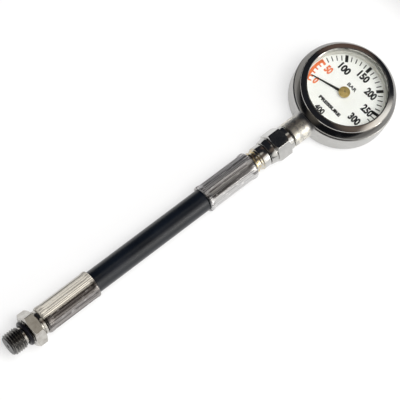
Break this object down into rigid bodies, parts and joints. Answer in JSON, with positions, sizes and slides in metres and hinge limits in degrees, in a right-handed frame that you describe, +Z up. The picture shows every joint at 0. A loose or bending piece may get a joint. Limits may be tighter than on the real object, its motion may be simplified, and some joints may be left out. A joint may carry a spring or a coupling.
{
  "type": "diving pressure gauge on a short hose",
  "caption": "Round metal-cased high-pressure gauge with a needle dial, on a short crimped rubber hose with a swivel nut and a threaded port fitting.",
  "frame": {"origin": "middle of the case's flat back, which rests on a table", "axes": "+Z up through the dial, -X along the stem and the hose towards the port fitting, +Y to the left of the stem seen from the gauge with the dial up"},
  "size_m": [0.2334, 0.052, 0.019],
  "materials": {
    "chrome": "bright nickel-chrome plate on turned brass",
    "satin_chrome": "satin nickel-chrome plate, fine lines along the ferrules",
    "brass": "turned brass",
    "bronze": "drawn phosphor bronze",
    "steel": "stainless steel",
    "hose_rubber": "smooth black hose cover, slight sheen",
    "seal_rubber": "black nitrile",
    "dial_white": "white dial with black and orange print",
    "ring_grey": "light grey spacer ring, turned lines",
    "pointer_black": "black painted sheet",
    "lens": "clear polished window"
  },
  "bodies": {
    "gauge_head": {"case": "satin_chrome", "relief_plug": "seal_rubber", "bezel_ring": "chrome", "lens": "lens", "lens_oring": "seal_rubber", "spacer_ring": "ring_grey", "dial_plate": "dial_white", "socket_block": "brass", "inlet_restrictor": "steel", "bourdon_tube": "bronze", "lower_plate": "brass", "upper_plate": "brass", "plate_pillar_1": "brass", "plate_pillar_2": "brass", "plate_pillar_3": "brass", "plate_pillar_4": "brass", "plate_screw_1": "steel", "plate_screw_2": "steel", "plate_screw_3": "steel", "plate_screw_4": "steel", "base_screw_1": "steel", "base_screw_2": "steel", "hairspring_stud": "steel", "swivel_nut": "chrome", "air_spool": "brass", "spool_oring_gauge": "seal_rubber", "spool_oring_hose": "seal_rubber"},
    "pointer": {"pointer_blade": "pointer_black", "pointer_hub": "brass", "pinion_arbor": "steel", "hairspring_collet": "brass", "hairspring": "bronze"},
    "sector": {"sector_gear": "brass", "sector_arbor": "steel", "link_tail_pin": "steel"},
    "link": {"link": "steel"},
    "tube_tip": {"tube_tip": "brass", "tip_pin": "steel"},
    "hose_head": {"hose_nipple": "chrome", "ferrule_gauge_end": "satin_chrome", "hose": "hose_rubber"},
    "port_end": {"ferrule_port_end": "satin_chrome", "port_fitting": "chrome", "port_oring": "seal_rubber"}
  },
  "joints": [
    {"name": "pointer_spin", "type": "hinge", "parent": "gauge_head", "child": "pointer", "pos_m": [0, 0, 0.0115], "axis": [0, 0, -1], "range_deg": [-8.7, 300.3], "stiffness_Nm_per_rad": 0.0002, "deforming": ["hairspring"]},
    {"name": "sector_turn", "type": "hinge", "parent": "gauge_head", "child": "sector", "pos_m": [0, -0.0105, 0.006], "axis": [0, 0, 1], "range_deg": [-1.5, 50.1]},
    {"name": "link_turn", "type": "hinge", "parent": "sector", "child": "link", "pos_m": [-0.00273, -0.00927, 0.0069], "axis": [0, 0, 1], "range_deg": [-50.1, 1.5]},
    {"name": "tube_tip_swing", "type": "hinge", "parent": "gauge_head", "child": "tube_tip", "pos_m": [0.00912, -0.01493, 0.0067], "axis": [0, 0, 1], "range_deg": [-0.5, 12.2], "deforming": ["bourdon_tube"]},
    {"name": "hose_swivel", "type": "hinge", "parent": "gauge_head", "child": "hose_head", "pos_m": [-0.045, 0, 0.008], "axis": [1, 0, 0], "continuous": true},
    {"name": "hose_bend", "type": "hinge", "parent": "hose_head", "child": "port_end", "pos_m": [-0.12445, 0, 0.008], "axis": [0, 0, 1], "range_deg": [-40, 40], "stiffness_Nm_per_rad": 0.7, "deforming": ["hose"]}
  ],
  "couplings": [
    {"joint": "sector_turn", "follows": "pointer_spin", "ratio": 0.16667},
    {"joint": "link_turn", "follows": "pointer_spin", "ratio": -0.16667},
    {"joint": "tube_tip_swing", "follows": "pointer_spin", "ratio": 0.0402}
  ]
}
